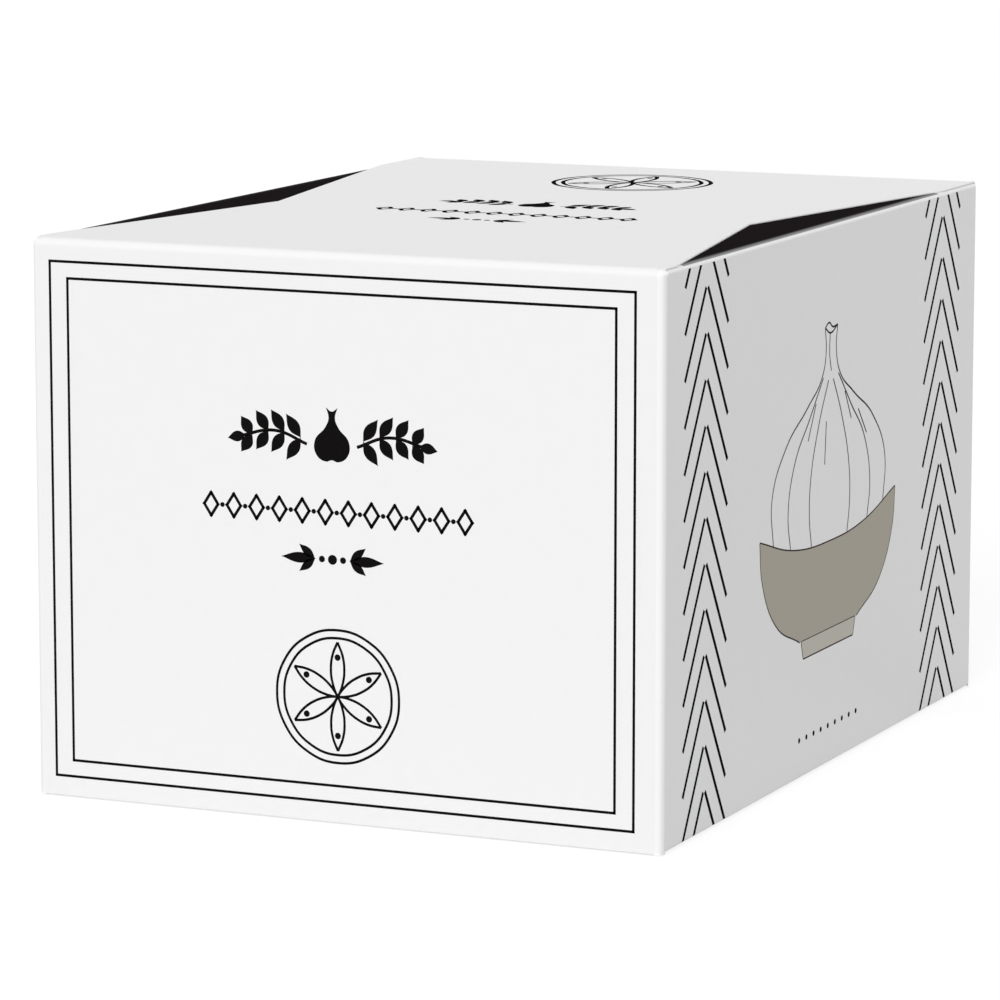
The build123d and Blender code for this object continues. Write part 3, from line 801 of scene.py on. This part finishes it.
def bowl(paper):
    """The bowl's filled shape."""
    side = [(*BOWL_SIDE[0], "corner"), *BOWL_SIDE[1:-1], (*BOWL_SIDE[-1], "corner")]
    other = [(-x, *rest) for x, *rest in reversed(side)]
    drawn(paper, side + other + BOWL_RIM[1:-1])


def foot(paper):
    """The filled shape of the bowl's foot."""
    drawn(paper, [(*knot, "corner") for knot in BOWL_FOOT + flipped(BOWL_FOOT)])


def bulb_lines(paper):
    """Outline of the bulb and its cloves, and of the bowl and its foot."""
    outline = [(4.4, 40.4), (3.6, 34.6), (6.0, 28.6), (16.2, 22), (31.2, 13.8), (40.4, 2.4), (39.2, -9.7)]
    outer_clove = [(5.4, 28.0), (14.5, 19.2), (25.2, 8.8), (29.3, -3), (27.4, -12.1)]
    middle_clove = [(1.7, 27.0), (8.2, 16.8), (13.6, 4), (14.4, -6), (12.7, -13.5)]
    for line in (outline, outer_clove, middle_clove, BOWL_SIDE, BOWL_FOOT):
        drawn(paper, line, PICTURE_LINE)
        drawn(paper, flipped(line), PICTURE_LINE)
    drawn(paper, [(-4.4, 40.4), (-1.7, 41.5), (0.9, 40.2), (4.4, 40.4)], PICTURE_LINE)
    drawn(paper, [(-4.4, 40.4), (-0.6, 38.8), (4.4, 40.4)], PICTURE_LINE)
    drawn(paper, [(-0.9, 38.6), (-1.1, 33.4), (0.2, 29.2)], PICTURE_LINE)
    strands = (((10.2, 22.8), (15.0, 15.2)), ((-10.4, 22.2), (-15.8, 13.5)), ((20.1, 17.0), (26.4, 10.0)),
               ((-3, 16.8), (-3.9, 6)))
    for strand in strands:
        drawn(paper, list(strand), PICTURE_LINE)
    drawn(paper, BOWL_RIM, PICTURE_LINE)
    for level in BOWL_FOOT:
        drawn(paper, [(-level[0], level[1]), level], PICTURE_LINE)


for side, x, right in (("right", BOX_HIGH.x, 1), ("left", BOX_LOW.x, -1)):
    where = face((x, 0, 0), (0, right, 0), (0, 0, 1))
    bands = bmesh.new()
    for middle in BAND_MIDDLES:
        herringbone(bands, middle)
    cut_across(bands, BAND_TOP, 1)
    cut_across(bands, BAND_BOTTOM, -1)
    round_bottom_crease(bands, CREASE_LEVEL, CREASE_BEND)
    for dot in range(DOTS):
        along = DOT_ROW_MIDDLE[0] + (dot - (DOTS - 1) / 2) * DOT_PITCH
        spot(bands, along, DOT_ROW_MIDDLE[1], DOT_RADIUS)
    printed(f"{side}_band_print", bands, where, "carton", black_ink)
    picture = where @ Matrix.Translation(PICTURE_MIDDLE)
    lines = bmesh.new()
    bulb_lines(lines)
    over_tint = picture @ Matrix.Translation((0, 0, LINES_ABOVE_TINT))
    printed(f"{side}_picture_lines", lines, over_tint, "carton", line_ink)
    tint = bmesh.new()
    bowl(tint)
    printed(f"{side}_bowl_tint", tint, picture, "carton", taupe_ink)
    foot_tint = bmesh.new()
    foot(foot_tint)
    printed(f"{side}_bowl_foot_tint", foot_tint, picture, "carton", pale_taupe_ink)


# ---------------------------------------------------------------------------------------------
# Studio. A wide pale floor that looks white to the camera, an even sky and one broad soft lamp
# from the front, with the camera low at the carton's front right corner.
# ---------------------------------------------------------------------------------------------

FLOOR_HALF = 6.0
FLOOR_BELOW = 0.2 * MM
FLOOR_TONE = 0.68
SEEN_FLOOR_TONE, SEEN_FLOOR_GLOW = 0.22, 0.82
SKY = 0.63
KEY_STRENGTH, KEY_SPREAD = 1.5, 30
KEY_RIGHT, KEY_HIGH = 7.5, 30.5
CAMERA_RIGHT, CAMERA_HIGH = 24.06, 9.31
CAMERA_AIM = Vector((-0.0078, -0.0003, 0.0618))
CAMERA_FAR = 1.322
LENS, SENSOR = 184.2, 36


def seen_directly(tree):
    """1 for what the camera, a gloss or a glass sees, 0 for light that falls on the object."""
    path = add(tree, "ShaderNodeLightPath")
    seen = maths(tree, "MAXIMUM", path.outputs["Is Camera Ray"], path.outputs["Is Glossy Ray"])
    return maths(tree, "MAXIMUM", seen, path.outputs["Is Transmission Ray"])


def away(right, high):
    """The direction at so many degrees to the right of the front and above the floor."""
    right, high = radians(right), radians(high)
    return Vector((sin(right) * cos(high), -cos(right) * cos(high), sin(high)))


world = bpy.data.worlds.new("sky")
world.use_nodes = True
bpy.context.scene.world = world
sky = world.node_tree
background = sky.nodes["Background"]
sky.links.new(between(sky, seen_directly(sky), (SKY, SKY, SKY, 1), (1, 1, 1, 1)), background.inputs["Color"])

key = bpy.data.lights.new("key", "SUN")
key.energy = KEY_STRENGTH
key.angle = radians(KEY_SPREAD)
key_lamp = bpy.data.objects.new("key", key)
key_lamp.rotation_mode = "QUATERNION"
key_lamp.rotation_quaternion = away(KEY_RIGHT, KEY_HIGH).to_track_quat("Z", "Y")
bpy.context.scene.collection.objects.link(key_lamp)

floor_shape = bmesh.new()
bmesh.ops.create_grid(floor_shape, x_segments=1, y_segments=1, size=FLOOR_HALF,
                      matrix=Matrix.Translation((0, 0, -FLOOR_BELOW)))
floor_mesh = bpy.data.meshes.new("floor")
floor_shape.to_mesh(floor_mesh)
floor_shape.free()
floor = bpy.data.objects.new("floor", floor_mesh)
bpy.context.scene.collection.objects.link(floor)

floor_paint = bpy.data.materials.new("floor")
floor_paint.use_nodes = True
paint = floor_paint.node_tree
paint.nodes.remove(paint.nodes["Principled BSDF"])
body_colour = add(paint, "ShaderNodeBsdfDiffuse")
body_colour.inputs["Color"].default_value = (FLOOR_TONE, FLOOR_TONE, FLOOR_TONE, 1)
shaded = add(paint, "ShaderNodeBsdfDiffuse")
shaded.inputs["Color"].default_value = (SEEN_FLOOR_TONE, SEEN_FLOOR_TONE, SEEN_FLOOR_TONE, 1)
glow = add(paint, "ShaderNodeEmission")
glow.inputs["Strength"].default_value = SEEN_FLOOR_GLOW
bright = add(paint, "ShaderNodeAddShader")
paint.links.new(shaded.outputs[0], bright.inputs[0])
paint.links.new(glow.outputs[0], bright.inputs[1])
either = add(paint, "ShaderNodeMixShader")
paint.links.new(seen_directly(paint), either.inputs[0])
paint.links.new(body_colour.outputs[0], either.inputs[1])
paint.links.new(bright.outputs[0], either.inputs[2])
paint.links.new(either.outputs[0], paint.nodes["Material Output"].inputs["Surface"])
floor_mesh.materials.append(floor_paint)

camera = bpy.data.cameras.new("camera")
camera.lens = LENS
camera.sensor_width = SENSOR
camera_stand = bpy.data.objects.new("camera", camera)
camera_stand.location = CAMERA_AIM + away(CAMERA_RIGHT, CAMERA_HIGH) * CAMERA_FAR
camera_stand.rotation_mode = "QUATERNION"
camera_stand.rotation_quaternion = away(CAMERA_RIGHT, CAMERA_HIGH).to_track_quat("Z", "Y")
bpy.context.scene.collection.objects.link(camera_stand)
bpy.context.scene.camera = camera_stand
bpy.context.scene.view_settings.view_transform = "Standard"

bpy.context.view_layer.update()
